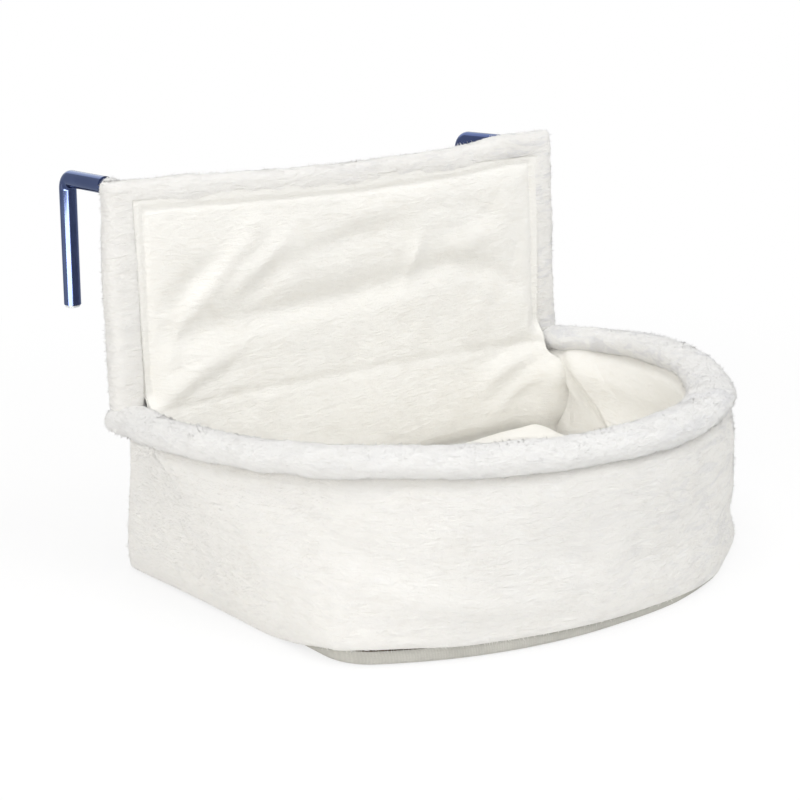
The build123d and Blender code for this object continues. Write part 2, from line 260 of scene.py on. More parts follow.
# materials
def feed(tree, socket, value):
    if isinstance(value, bpy.types.NodeSocket):
        tree.links.new(value, socket)
    else:
        socket.default_value = value


# a node with its settings by name and its inputs in order or by name
def addNode(tree, kind, *inputs, **values):
    node = tree.nodes.new("ShaderNode" + kind)
    for key, value in values.items():
        if key not in node.inputs:
            setattr(node, key, value)
    for key, value in [*enumerate(inputs), *values.items()]:
        if isinstance(key, int) or key in node.inputs:
            feed(tree, node.inputs[key], value)
    return node


def calculate(tree, operation, *inputs):
    return addNode(tree, "Math", *inputs, operation=operation).outputs["Value"]


def rangeFrom(tree, value, lowFrom, highFrom, lowTo, highTo, kind="SMOOTHSTEP"):
    ends = (lowFrom, highFrom, lowTo, highTo)
    return addNode(tree, "MapRange", value, *ends, interpolation_type=kind).outputs["Result"]


def noiseFrom(tree, source, scale, detail=3.0, rough=0.5, warp=0.0):
    values = {"Scale": scale, "Detail": detail, "Roughness": rough, "Distortion": warp}
    return addNode(tree, "TexNoise", Vector=source, **values).outputs["Fac"]


# a colour ramp with (place, colour) stops
def between(tree, factor, stops):
    ramp = addNode(tree, "ValToRGB", factor)
    ramp.color_ramp.interpolation = "EASE"
    stops = list(stops)
    while len(ramp.color_ramp.elements) < len(stops):
        ramp.color_ramp.elements.new(0.5)
    for element, (place, colour) in zip(ramp.color_ramp.elements, stops):
        element.position = place
        element.color = (*colour, 1)
    return ramp.outputs["Color"]


class Finish:
    def __init__(self, name, **values):
        self.material = bpy.data.materials.new(name)
        self.material.use_nodes = True
        self.tree = self.material.node_tree
        self.shader = self.tree.nodes["Principled BSDF"]
        self.place = addNode(self.tree, "TexCoord").outputs["Object"]
        for key, value in values.items():
            self.shader.inputs[key.replace("_", " ")].default_value = value

    def colour(self, source, plain):
        self.shader.inputs["Base Color"].default_value = (*plain, 1)
        feed(self.tree, self.shader.inputs["Base Color"], source)

    def relief(self, height, strength, distance):
        bump = addNode(self.tree, "Bump", Strength=strength, Distance=distance, Height=height)
        feed(self.tree, self.shader.inputs["Normal"], bump.outputs["Normal"])


plushValues = {
    "stops": (0.30, 0.52, 0.72),
    "white": [(0.905, 0.897, 0.877), (0.945, 0.94, 0.925), (0.97, 0.97, 0.965)],
    "cream": [(0.925, 0.905, 0.855), (0.945, 0.932, 0.892), (0.96, 0.952, 0.92)],
    "warm": [(0.90, 0.882, 0.845), (0.94, 0.927, 0.897), (0.965, 0.957, 0.937)],
    "napSize": 30.0,
    "fibreSize": 900.0,
    "driftSize": 18.0,
    "drift": 0.012,
    "laid": (1.0, 1.0, 3.4),
    "streakSize": 95.0,
    "streakTone": 0.55,
    "streakHeight": 3.0,
    "reliefDepth": 0.0012,
    # painted shade: darker, cooler patches of the nap towards the right, and their tone
    "paintedShadeSize": 42.0,
    "paintedShadeFrom": (0.47, 0.64),
    "paintedShadeTone": (0.885, 0.888, 0.918),
    "paintedShadeAcross": (-0.1, 0.2),
    "paintedShadeShare": (0.15, 0.85),
}


def plushFinish(name, colours, bump, sheen, paintedShadeTone=(1, 1, 1)):
    v = plushValues
    colours = v[colours]
    finish = Finish(
        name, Roughness=0.92, Specular_IOR_Level=0.2,
        Sheen_Weight=sheen, Sheen_Roughness=0.45, Sheen_Tint=(1, 0.99, 0.97, 1),
    )
    tree, place = finish.tree, finish.place
    # the nap lies in streaks that wander, longer across than down
    drift = addNode(tree, "TexNoise", Vector=place, Scale=v["driftSize"], Detail=2.0)
    drift = (drift.outputs["Color"], (v["drift"],) * 3, place)
    wander = addNode(tree, "VectorMath", *drift, operation="MULTIPLY_ADD")
    laid = addNode(tree, "Mapping", Vector=wander.outputs["Vector"], Scale=v["laid"])
    laid = laid.outputs["Vector"]
    streaks = noiseFrom(tree, laid, v["streakSize"], 5.0, 0.6, 0.6)
    nap = noiseFrom(tree, place, v["napSize"], 4.0, 0.55, 0.8)
    rest = calculate(tree, "MULTIPLY", nap, 1 - v["streakTone"])
    tone = calculate(tree, "MULTIPLY_ADD", streaks, v["streakTone"], rest)
    # painted shade: towards the right, patches of the nap are tinted a darker, cooler grey, standing
    # in for the shade that nap turned the other way shows there
    shadePatches = noiseFrom(tree, laid, v["paintedShadeSize"], 3.0, 0.6, 0.8)
    shadePatches = rangeFrom(tree, shadePatches, *v["paintedShadeFrom"], 0, 1)
    across = addNode(tree, "SeparateXYZ", place).outputs["X"]
    share = rangeFrom(tree, across, *v["paintedShadeAcross"], *v["paintedShadeShare"])
    strength = calculate(tree, "MULTIPLY", shadePatches, share)
    paintedShade = addNode(tree, "Mix", strength, data_type="RGBA", blend_type="MULTIPLY")
    feed(tree, paintedShade.inputs[6], between(tree, tone, zip(v["stops"], colours)))
    feed(tree, paintedShade.inputs[7], (*paintedShadeTone, 1))
    finish.colour(paintedShade.outputs[2], colours[1])
    fibre = noiseFrom(tree, place, v["fibreSize"], 5.0, 0.65, 1.5)
    height = calculate(tree, "MULTIPLY_ADD", streaks, v["streakHeight"], fibre)
    finish.relief(height, bump, v["reliefDepth"])
    return finish.material


plush = plushFinish("plushWhite", "white", 0.75, 0.35, plushValues["paintedShadeTone"])
plushWarm = plushFinish("plushWarm", "warm", 0.65, 0.3, plushValues["paintedShadeTone"])
cream = plushFinish("plushCream", "cream", 0.45, 0.25)
wadding = plushFinish("wadding", "cream", 0.9, 0.2)

wovenValues = {
    "rear": ((0.80, 0.79, 0.755), (0.86, 0.85, 0.82)),
    "base": ((0.47, 0.463, 0.43), (0.56, 0.55, 0.51)),
    "threads": 1250.0 / 6.28,
    "contrast": 0.2,
}


def wovenFinish(name, colours):
    v = wovenValues
    finish = Finish(name, Roughness=0.85, Specular_IOR_Level=0.25)
    tree, place = finish.tree, finish.place
    wave = {"Vector": place, "Scale": v["threads"], "Distortion": 0.6, "Detail Scale": 3.0}
    waves = (addNode(tree, "TexWave", bands_direction=way, **wave) for way in "XZY")
    warp, weft, cross = (wave.outputs["Fac"] for wave in waves)
    both = calculate(tree, "MULTIPLY", warp, calculate(tree, "MAXIMUM", weft, cross))
    slub = noiseFrom(tree, place, 60.0, 4.0, 0.6)
    tone = calculate(tree, "MULTIPLY_ADD", both, v["contrast"], slub)
    finish.colour(between(tree, tone, [(0.3, colours[0]), (0.9, colours[1])]), colours[1])
    finish.relief(both, 0.5, 0.0003)
    return finish.material


rearWoven = wovenFinish("wovenRear", wovenValues["rear"])
baseWoven = wovenFinish("wovenBase", wovenValues["base"])


def metalFinish(name, colours, rough, scratch, **values):
    finish = Finish(name, Metallic=1.0, **values)
    tree, place = finish.tree, finish.place
    cloud = noiseFrom(tree, place, 25.0, 4.0, 0.6)
    finish.colour(between(tree, cloud, [(0.35, colours[0]), (0.7, colours[1])]), colours[1])
    wear = noiseFrom(tree, place, 320.0, 5.0, 0.7)
    level = rangeFrom(tree, wear, 0, 1, rough, rough + scratch, "LINEAR")
    feed(tree, finish.shader.inputs["Roughness"], level)
    return finish.material


def plasticFinish(name, colours, rough, grain):
    finish = Finish(name, Roughness=rough)
    cloud = noiseFrom(finish.tree, finish.place, 180.0, 4.0, 0.6)
    finish.colour(between(finish.tree, cloud, [(0.3, colours[0]), (0.7, colours[1])]), colours[1])
    finish.relief(noiseFrom(finish.tree, finish.place, 1800.0), grain, 0.0002)
    return finish.material


hookSteel = metalFinish(
    "hookSteel", ((0.030, 0.046, 0.125), (0.042, 0.062, 0.155)), 0.09, 0.08,
    Specular_Tint=(0.5, 0.55, 0.65, 1), Coat_Weight=0.35, Coat_Roughness=0.12,
)
frameSteel = metalFinish("frameSteel", ((0.52, 0.54, 0.57), (0.64, 0.66, 0.69)), 0.22, 0.15)
fastenerSteel = metalFinish("fastenerSteel", ((0.5, 0.5, 0.52), (0.62, 0.62, 0.64)), 0.28, 0.15)
plugPlastic = plasticFinish("plugPlastic", ((0.70, 0.75, 0.78), (0.80, 0.84, 0.86)), 0.35, 0.2)
capPlastic = plasticFinish("capPlastic", ((0.018, 0.018, 0.02), (0.035, 0.035, 0.038)), 0.55, 0.4)
boardBrown = plasticFinish("boardBrown", ((0.24, 0.155, 0.09), (0.36, 0.25, 0.16)), 0.8, 0.6)
carriedFinish = {
    "hook_tube": hookSteel,
    "hook_plug": plugPlastic,
    "upright": frameSteel,
    "hoop": frameSteel,
    "hoop_ferrule": frameSteel,
    "crossbar": frameSteel,
    "crossbar_inserts": fastenerSteel,
    "frame_screws": fastenerSteel,
    "hoop_saddles": capPlastic,
    "frame_caps": capPlastic,
    "base_board": boardBrown,
    "wadding": wadding,
}
for nodeName, node in nodes.items():
    ends = [key for key in carriedFinish if nodeName.endswith(key)]
    if ends:
        chosen = carriedFinish[max(ends, key=len)]
        for slotNumber in range(len(node.material_slots)):
            node.material_slots[slotNumber].material = chosen
print("materials made")


# the hoop's plan, which the rim, the tub wall and the lining share
planValues = {
    "half": 207.0,
    "endX": 200.0,
    "rearEnd": 9.5,
    "stepStart": 8.0,
    "stepEnd": 52.0,
    "straight": 57.0,
    "sideTurn": 52.4,
    "depth": 297.0,
    "height": 112.0,
    "tilt": 2.0,
    # the soft tub stands this far to the right of its base, at its left and right
    "lean": (5.5, 9.0),
    "wallsLean": (0, 40, 0),  # how much further back the walls' lean starts
}


def hoopRadii(p):
    c, s = math.cos(math.radians(p["sideTurn"])), math.sin(math.radians(p["sideTurn"]))
    share = (1 - s) / c
    side = (p["depth"] - p["straight"] - p["half"] * share) / (s - (1 - c) * share)
    return side, (p["half"] - side * (1 - c)) / c


sideRadius, frontRadius = hoopRadii(planValues)


# the hoop's axis from its left rear end round the front to its right rear end, in its own plane
def hoopPlan(p):
    t = np.linspace(0, 1, 24)[:, None]
    rear = np.hstack([np.full((2, 1), p["endX"]), [[p["rearEnd"]], [-p["stepStart"]]]])
    swing = t * t * (3 - 2 * t)
    step = np.hstack([
        p["endX"] + (p["half"] - p["endX"]) * swing,
        -p["stepStart"] - (p["stepEnd"] - p["stepStart"]) * t,
    ])
    turn = math.radians(p["sideTurn"])
    a = np.linspace(0, turn, 160)
    side = [p["half"] - sideRadius * (1 - np.cos(a)), -p["straight"] - sideRadius * np.sin(a)]
    b = np.linspace(turn, math.pi / 2, 90)
    front = [frontRadius * np.cos(b), -(p["depth"] - frontRadius) - frontRadius * np.sin(b)]
    return fullOutline(np.vstack([rear, step, np.stack(side, 1), np.stack(front, 1)]))


# left rear to right rear, round the front
def fullOutline(right):
    left = right.copy()
    left[:, 0] *= -1
    return np.vstack([left, right[::-1][1:]])


def directions(centres):
    return unit(np.gradient(centres, axis=0))


rimTilt = math.radians(planValues["tilt"])
rimUp = np.array([0, math.sin(rimTilt), math.cos(rimTilt)])


# rim: a padded plush roll round the hoop
rimValues = {
    "halfWidth": (14.8, 16.8),  # left and right
    "halfHeight": 10.2,
    "along": 760,
    "around": 60,
    "roundEnd": 8.0,
    "lumps": [(70, 0.7), (34, 0.8), (16, 0.6), (8, 0.45), (4, 0.3)],
    "seed": 11,
    "rightRise": 2.0,
    "rightRearDrop": 2.4,
}


def leanAt(points):
    x, y, z = points[..., 0], points[..., 1], points[..., 2]
    amount = blend(planValues["lean"], smoothStep(x, -150, 150))
    return amount * smoothStep(-y, -12, 60) * smoothStep(z, 5, 112)


def makeRim(v):
    plan = evenly(hoopPlan(planValues), v["along"])
    height = planValues["height"] - plan[:, 1] * math.sin(rimTilt)
    centres = np.stack([plan[:, 0], plan[:, 1] * math.cos(rimTilt), height], 1)
    toRight = smoothStep(centres[:, 0], -150, 150)
    level = centres * [1, 1, 0] + [0, 0, planValues["height"]]
    centres[:, 0] += leanAt(level)
    outward = unit(np.cross(directions(centres), rimUp))
    x, y = centres[:, 0], centres[:, 1]
    rightRear = smoothStep(x, 120, 200) * smoothStep(-y, 30, 90)
    centres[:, 2] += v["rightRise"] * rightRear * smoothStep(y, -230, -150)
    centres[:, 2] -= v["rightRearDrop"] * smoothStep(x, 120, 190) * smoothStep(y, -140, -70)
    width = blend(v["halfWidth"], toRight)
    upwards = np.tile(rimUp, (v["along"], 1))
    piece = makeRoll("rimRoll", centres, outward, upwards, width, v["halfHeight"], v, plush)
    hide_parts("rim_sleeve")
    return piece


rimRoll = makeRim(rimValues)
print("rim made")


# tub: a plush outer wall, and a smooth lining
wallValues = {
    "edge": 5.0,
    "rear": 8.0,
    "drawIn": 13.0,
    "foot": 9.0,
    "top": 100.7,
    "baseHalf": 202.0,
    "baseDepth": 300.0,
    "taper": 4.7,
    "corner": 40.0,
    "baseFront": 290.0,
    "columns": (90, 120, 90),  # side, corner and front of one half
    "rearColumns": 150,
    "rows": 50,
    "thick": 2.0,
    "bulge": 2.2,
    "smoothing": 14,
    "lumps": [(80, 1.3), (42, 0.9), (20, 0.6), (10, 0.3), (5, 0.15)],
    "lumpShare": (0.2, 1.0),  # at the foot, and above
    "seed": 31,
    # by row: share of the height, lift, and how far the cloth turns in; the first row turns in
    # less where the plush ends low
    "underside": [(0, 0.0, 9.0), (0, -0.3, 6.0), (0, 0.2, 3.6), (0, 1.2, 1.7), (0, 3.0, 0.5)],
    "topEdge": [(1.0, 0.6, 1.2), (1.0, 2.2, 3.5)],
    "turnUnder": (2.2, 9.2),
    "lowEnd": (8.8, 9.6),
    # by angle round the tub, 0 at the right and 90 in front: how high the plush ends, how far its
    # foot stands out, its fullness under the rim and a belly above the middle
    "angles": [0, 30, 44, 54, 66, 86, 124, 148, 156, 164, 172, 200, 340, 360],
    "ends": [1.0, 1.0, 1.2, 1.6, 4.0, 6.5, 8.2, 9.9, 8.5, 3.0, 0.6, 1.2, 1.6, 1.0],
    "skirt": [-1.5, -2.5, -1.5, 3.0, 5.0, 2.0, 0.5, 1.5, 2.5, 4.0, 5.0, 4.0, 1.0, 0.0],
    "fullness": [4.5, 4.5, 4.5, 4.5, 5.5, 6.0, 6.0, 5.0, 3.5, 2.0, 1.0, 0.0, 0.0, 4.5],
    "belly": [2.5, 3.0, 2.5, 1.0, 0.0, 0.0, 0.0, 0.0, 0.0, 0.0, 0.0, 0.0, 0.0, 2.5],
    # soft folds in the front, whose lines run by angle and height
    "angleWidth": 2.6,  # mm that a degree counts as
    "folds": [
        ([(152, 58), (142, 44), (131, 33), (112, 27)], 9, 3.2),
        ([(158, 80), (150, 62), (138, 46)], 9, -2.6),
        ([(112, 62), (104, 52), (98, 44)], 7, -2.2),
        ([(96, 44), (84, 42), (74, 46)], 6, -2.4),
        ([(94, 34), (84, 32), (70, 38)], 6, -2.0),
        ([(60, 60), (44, 52), (30, 50)], 10, 1.6),
        ([(56, 36), (42, 30), (26, 30)], 8, -2.0),
        ([(40, 82), (24, 70), (12, 58)], 9, -2.4),
    ],
}


def halfOutline(half, rear, taper, corner, front, depth, drawIn, counts):
    t = math.radians(taper)
    along = np.array([-math.sin(t), -math.cos(t)])
    inward = np.array([-math.cos(t), math.sin(t)])
    gap = np.array([half, rear]) + inward * corner - np.array([0, front - depth])
    halfSum = gap @ along
    root = math.sqrt(halfSum**2 - gap @ gap + (front - corner) ** 2)
    length = root - halfSum if front > corner else -root - halfSum
    centre = (gap + along * length) * (1 if front > corner else -1)
    turn = math.pi / 2 - t - math.atan2(centre[0], -centre[1])
    end = np.array([half, rear]) + along * length
    s = np.linspace(0, 1, counts[0])[:, None]
    side = np.array([half - drawIn, rear]) * (1 - s) + end * s
    a = -t - np.linspace(0, turn, counts[1] + 1)[1:]
    arc = end + inward * corner + corner * np.stack([np.cos(a), np.sin(a)], 1)
    b = np.linspace(-t - turn, -math.pi / 2, counts[2] + 1)[1:]
    nose = np.array([0, front - depth]) + front * np.stack([np.cos(b), np.sin(b)], 1)
    return np.vstack([side, arc, nose])


def footOutline(inset, leastCorner=0):
    v = wallValues
    half = halfOutline(
        v["baseHalf"] - inset, v["rear"] - inset, v["taper"], max(v["corner"] - inset, leastCorner),
        v["baseFront"] - inset, v["baseDepth"] - inset, 0, v["columns"],
    )
    return fullOutline(half)


def topOutline(inset):
    v, p = wallValues, planValues
    edge = v["edge"] - inset
    half = halfOutline(
        p["half"] + edge, v["rear"] - inset, 0, sideRadius + edge,
        frontRadius + edge, p["depth"] + edge, v["drawIn"], v["columns"],
    )
    return fullOutline(half)


def closeRear(outline):
    s = np.linspace(0, 1, wallValues["rearColumns"] + 2)[1:-1, None]
    return np.vstack([outline, outline[-1] * (1 - s) + outline[0] * s])


# the wall's line at its foot, and at its top, which rises with the hoop to the front
def wallLines(top, foot, footZ):
    topZ = wallValues["top"] - top[:, 1] * math.tan(rimTilt)
    return np.column_stack([foot, np.full(len(foot), footZ)]), np.column_stack([top, topZ])


# smooths rows of points along the outline
def spread(values, amount, wrap):
    for _ in range(amount):
        if wrap:
            values = (np.roll(values, 1, 1) + 2 * values + np.roll(values, -1, 1)) / 4
        else:
            values[:, 1:-1] = (values[:, :-2] + 2 * values[:, 1:-1] + values[:, 2:]) / 4
    return values


tubMiddle = np.array([0, -140.0])


def aroundTub(points):
    return np.degrees(np.arctan2(tubMiddle[1] - points[..., 1], points[..., 0])) % 360


def makeWall(v):
    top, foot = closeRear(topOutline(0)), closeRear(footOutline(0))
    angle = aroundTub(foot)
    ends, fullness, skirt, belly = (
        np.interp(angle, v["angles"], v[key])[:, None]
        for key in ("ends", "fullness", "skirt", "belly")
    )
    lower, upper = wallLines(top, foot, v["foot"])
    tuck = blend(v["turnUnder"], smoothStep(ends, *v["lowEnd"])) / v["turnUnder"][1]
    upright = [(share, 0, 0) for share in np.linspace(0.055, 0.985, v["rows"])]
    rows = []
    for share, lift, turnIn in v["underside"] + upright + v["topEdge"]:
        row = lower * (1 - share) + upper * share
        heading = directions(np.vstack([row[-1:], row, row[:1]]))[1:-1]
        outward = unit(np.cross(heading, [0, 0, 1.0]))
        full = smoothStep(share, 0.45, 0.9) * (1 - 0.5 * smoothStep(share, 0.97, 1.0))
        bulge = v["bulge"] * math.sin(math.pi * share) ** 0.8 if 0 < share < 1 else 0
        bulge = bulge + belly * smoothStep(share, 0.3, 0.85) + fullness * full
        turnIn = turnIn * tuck if share == 0 else turnIn
        row = row + outward * (bulge + skirt * (1 - share) ** 2 - turnIn)
        row[:, 2] += lift + (ends[:, 0] - v["foot"]) * (1 - share) ** 3
        rows.append(row)
    grid = spread(np.array(rows), v["smoothing"], True)
    grid[..., 0] += leanAt(grid - planValues["wallsLean"])
    flat, push = gridNormals(grid, True)
    push *= np.sign(np.sum(push * (flat - flat.mean(0)), 1).mean())
    wide = v["angleWidth"]
    folds = [([(a * wide, z) for a, z in line], *size) for line, *size in v["folds"]]
    spot = np.stack([aroundTub(flat) * wide, flat[:, 2]], 1)
    high = addFolds(lumps(flat, v), spot, folds, 0.05, 0.7)
    high = high * blend(v["lumpShare"], smoothStep(flat[:, 2], 6, 24))
    outer, inner = flat + push * high[:, None], flat - push * v["thick"]
    piece = makeSkin("tubOuterWall", outer, inner, grid.shape[1], True, plushWarm)
    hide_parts("tub_outer_wall", "tub_wall_wadding")
    return piece


tubOuterWall = makeWall(wallValues)
print("tub wall made")

liningValues = {
    "inset": 10.2,
    "rows": 60,
    "thick": 1.6,
    "meetsRim": 11.0,
    "underRim": 9.0,
    "bulge": 1.5,
    "swell": 9.0,
    "cornerFold": (3.0, 9.0, 14.0),  # height, width, and how far in front of the tuck
    "smoothing": 6,
    "lumps": [(80, 1.4), (40, 0.9), (20, 0.4), (9, 0.15)],
    "seed": 57,
    # height and y of the tuck at the right rear, and the tucks' lines by y and height
    "tuck": ([9, 46, 66, 87, 112], [-112, -88, -62, -37, -20]),
    "folds": [
        ([(-24, 110), (-30, 80), (-40, 44)], 4.5, -5.0),
        ([(-30, 96), (-37, 87), (-62, 66), (-88, 46)], 4.0, -4.0),
    ],
}


def makeLining(v):
    top, foot = topOutline(v["inset"]), footOutline(v["inset"])
    lower, upper = wallLines(top, foot, wallValues["foot"] + 1)
    rows = []
    for share in np.linspace(0.0, 1.06, v["rows"]):
        row = lower * (1 - share) + upper * share
        inward = -unit(np.cross(directions(row), [0, 0, 1.0]))
        ahead = v["meetsRim"] * smoothStep(share, 0.55, 0.95)
        ahead = ahead - v["underRim"] * smoothStep(share, 0.97, 1.05)
        rows.append(row + inward * (v["bulge"] * math.sin(math.pi * min(share, 1)) + ahead))
    grid = spread(np.array(rows), v["smoothing"], False)
    grid[..., 0] += leanAt(grid - planValues["wallsLean"])
    flat, push = gridNormals(grid)
    push *= np.sign(np.sum(push * ([*tubMiddle, 60] - flat), 1).mean())
    high = lumps(flat, v)
    # a full swell at the right that ends in a tuck at the rear corner, with one small fold in it
    x, y, z = flat.T
    side = smoothStep(x, 100, 150)
    tuckY = np.interp(z, *v["tuck"])
    past = tuckY - y
    swell = smoothStep(past, -3, 16) * (1 - smoothStep(past, 60, 190)) * smoothStep(z, 20, 50)
    swell = swell * (1 - smoothStep(z, 84, 108))
    high = high + side * v["swell"] * swell
    fold = smoothStep(y, -62, -40) * (1 - smoothStep(z, 80, 104))
    height, width, inFront = v["cornerFold"]
    high = high + side * height * fold * np.exp(-(((y - (tuckY + inFront)) / width) ** 2))
    high = addFolds(high, flat[:, 1:], v["folds"], 0.12, weight=side)
    front, back = flat + push * high[:, None], flat - push * v["thick"]
    piece = makeSkin("tubLining", front, back, grid.shape[1], False, cream)
    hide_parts("tub_lining")
    return piece


tubLining = makeLining(liningValues)
print("lining made")


# backrest: a plush border, a creased front, a sleeve on the crossbar and a woven rear
borderValues = {
    # height, middle and half width of each side; x, middle height and half height along the top
    "left": [(113, -197.5, 13.4), (160, -196.0, 13.2), (215, -195.0, 13.2), (262, -193.4, 12.8)],
    "right": [(113, 193.2, 13.8), (200, 191.0, 13.6), (262, 188.0, 13.0)],
    "top": [
        (-181, 269.6, 9.8), (-100, 266.6, 10.0), (0, 264.6, 10.2), (100, 267.0, 10.2),
        (150, 272.4, 11.2), (174, 273.4, 11.4),
    ],
    "rounding": 9,
    "depth": 9.8,
    "topDepth": 9.4,
    "along": (130, 300),  # up each side, and along the top
    "around": 52,
    "roundEnd": 9.0,
    "squareness": 0.78,
    "lumps": [(60, 0.7), (30, 0.8), (14, 0.5), (7, 0.3), (4, 0.15)],
    "seed": 83,
}


# the border's outer edge for side 1, or its inner edge for -1, from left foot to right foot
def borderEdge(v, side):
    left, right, top = (np.array(v[k]).T for k in ("left", "right", "top"))

    def leftX(z):
        return np.interp(z, left[0], left[1] - side * left[2])

    def rightX(z):
        return np.interp(z, right[0], right[1] + side * right[2])

    def topZ(x):
        return np.interp(x, top[0], top[1] + side * top[2])

    foot, cornerLeft, cornerRight = left[0, 0], leftX(left[0, -1]), rightX(right[0, -1])
    upZ = np.linspace(foot, topZ(cornerLeft), v["along"][0])
    acrossX = np.linspace(cornerLeft, cornerRight, v["along"][1])
    downZ = np.linspace(topZ(cornerRight), foot, v["along"][0])
    edge = np.vstack([
        np.stack([leftX(upZ), upZ], 1),
        np.stack([acrossX, topZ(acrossX)], 1)[1:-1],
        np.stack([rightX(downZ), downZ], 1),
    ])
    for _ in range(v["rounding"]):
        edge[1:-1] = (edge[:-2] + 2 * edge[1:-1] + edge[2:]) / 4
    return np.stack([edge[:, 0], np.zeros(len(edge)), edge[:, 1]], 1)


def makeBorder(v):
    outer, inner = borderEdge(v, 1), borderEdge(v, -1)
    centres = (outer + inner) / 2
    width = np.linalg.norm(inner - outer, axis=1)
    front = np.tile([0, -1.0, 0], (len(centres), 1))
    upright = np.abs(directions(centres)[:, 2])
    depth = v["topDepth"] * (1 - upright) + v["depth"] * upright
    across = unit(inner - outer)
    piece = makeRoll("backBorder", centres, across, front, width / 2, depth, v, plushWarm)
    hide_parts("left_side_sleeve", "right_side_sleeve", "top_hem")
    return piece


backBorder = makeBorder(borderValues)

cuffValues = {
    "bend": 25.0,
    "height": 248.0,
    "from": 12.0,
    "end": 28.0,
    "radius": (8.4, 5.9),
    "upright": 187.0,
    "along": 44,
    "around": 48,
    "roundEnd": 3.0,
    "lumps": [(13, 0.5), (6, 0.35), (3, 0.2)],
    "seed": 97,
}


def makeCuff(name, side, v):
    angle = np.radians(np.linspace(v["from"], 90, 34))
    bend, height = v["bend"], v["height"]
    path = np.stack([bend * (1 - np.cos(angle)), height + bend * np.sin(angle)], 1)
    path = evenly(np.vstack([path, [v["end"], height + bend]]), v["along"])
    centres = np.column_stack([np.full(v["along"], side * v["upright"]), path])
    across = np.tile([1.0, 0, 0], (v["along"], 1))
    up = np.cross(directions(centres), across)
    radius = blend(v["radius"], smoothStep(path[:, 0], 4, 26))
    piece = makeRoll(name, centres, across, up, radius, radius, v, plush)
    return piece


leftCuff = makeCuff("leftCuff", -1, cuffValues)
rightCuff = makeCuff("rightCuff", 1, cuffValues)

panelValues = {
    "left": -188.0,
    "right": 183.0,
    "top": 266.0,
    "foot": 27.0,
    # the seam with the border: height and x of its left and right, x and height of its top
    "seam": (
        [(113, -184.1), (160, -182.8), (215, -181.8), (262, -180.6)],
        [(113, 178.6), (200, 176.6), (262, 174.4)],
        [(-181, 259.8), (-100, 256.6), (0, 254.4), (100, 256.8), (150, 261.2)],
    ),
    "columns": 220,
    "rows": 150,
    "least": (4.2, 1.5),  # the front face's depth, and the cloth's thickness
    "intoCorner": 16.0,
    "lowerEnds": (6.0, 16.0),
    "sewnDepth": 9.2,
    "sewnBand": (-2, 16),
    "stitch": (1.6, 2.0, 0.8),  # depth, width, and how far inside the seam
    # a sharp crease above the roll over the crossbar, by x and height
    "crease": [(-184, 116), (-120, 119), (-60, 118), (20, 117), (100, 115), (178, 112)],
    "creaseSize": (1.3, 4.0),  # depth and width
    # the front face by height: the panel, the roll over the crossbar and the wall below it
    "profile": (
        [
            27, 38, 44, 50, 60, 78, 90, 98, 104, 112, 118,
            124, 134, 145, 160, 175, 190, 225, 248, 257, 262,
        ],
        [
            10.5, 11.5, 15, 17.5, 19.4, 20.8, 20.6, 20, 19.4, 18.6, 18.2,
            17.8, 16.8, 15.4, 13, 11.4, 11.2, 11.4, 10.6, 10.2, 10.2,
        ],
    ),
    # the rear face by height: it clears the crossbar's sleeve
    "behind": ([27, 92, 99, 112, 125, 132, 262], [2.6, 2.6, 9.5, 11.9, 9.5, 2.6, 2.6]),
    "folds": [
        ([
            (-182, 150), (-170, 166), (-120, 170), (-67, 174), (-11, 176),
            (40, 182), (88, 188), (137, 176), (172, 154),
        ], 10, -5.0),
        ([(-150, 152), (-60, 160), (20, 164), (90, 168), (150, 158)], 16, 1.0),
        ([(-176, 150), (-150, 182), (-118, 214), (-92, 238)], 8, 3.0),
        ([(-165, 192), (-140, 206), (-112, 226)], 9, -3.0),
        ([(-128, 186), (-100, 204), (-66, 226), (-52, 240)], 7, 2.2),
        ([(-110, 182), (-86, 196), (-50, 216)], 8, -2.4),
        ([(-40, 214), (0, 222), (48, 222)], 9, -2.6),
        ([(-30, 232), (20, 238), (60, 236)], 12, 1.6),
        ([(44, 180), (52, 200), (56, 214)], 5, 2.8),
        ([(100, 232), (124, 226), (146, 232)], 13, -2.6),
        ([(150, 176), (160, 198), (158, 222)], 8, -2.0),
        ([(70, 190), (104, 204), (140, 214)], 10, 1.8),
        ([(-182, 122), (-150, 140), (-112, 152)], 7, 2.4),
        ([(-178, 112), (-150, 128), (-120, 138)], 7, -1.6),
        ([(176, 104), (140, 96), (110, 84)], 7, 3.0),
        ([(176, 112), (150, 112), (110, 104)], 6, -2.0),
        ([(178, 92), (152, 78), (128, 62)], 7, 2.5),
    ],
    "lumps": [(70, 1.2), (36, 0.9), (18, 0.65), (9, 0.35), (4, 0.15)],
    "seed": 131,
}


